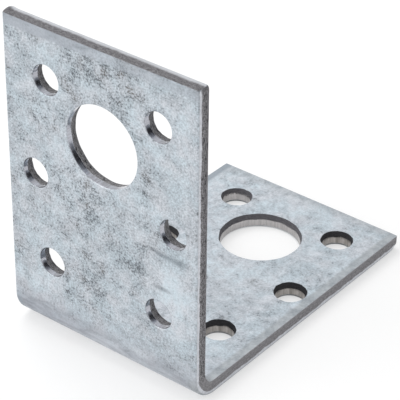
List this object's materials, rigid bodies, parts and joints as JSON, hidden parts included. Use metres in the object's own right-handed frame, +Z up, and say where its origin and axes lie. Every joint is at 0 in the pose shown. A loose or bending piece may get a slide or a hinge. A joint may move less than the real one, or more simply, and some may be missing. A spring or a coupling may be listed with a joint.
{
  "type": "corner brace bracket",
  "caption": "Folded right-angle bracket of galvanised sheet steel, with punched screw holes and a large hole in each leaf.",
  "frame": {"origin": "middle of the footprint, on the underside of the lying leaf", "axes": "+X along the fold, +Y from the upright leaf towards the lying leaf's free end, +Z up along the upright leaf"},
  "size_m": [0.0404, 0.06, 0.06],
  "materials": {
    "galvanised_steel": "hot-dip galvanised, mottled, satin"
  },
  "bodies": {
    "root": {"bracket": "galvanised_steel"}
  },
  "joints": []
}
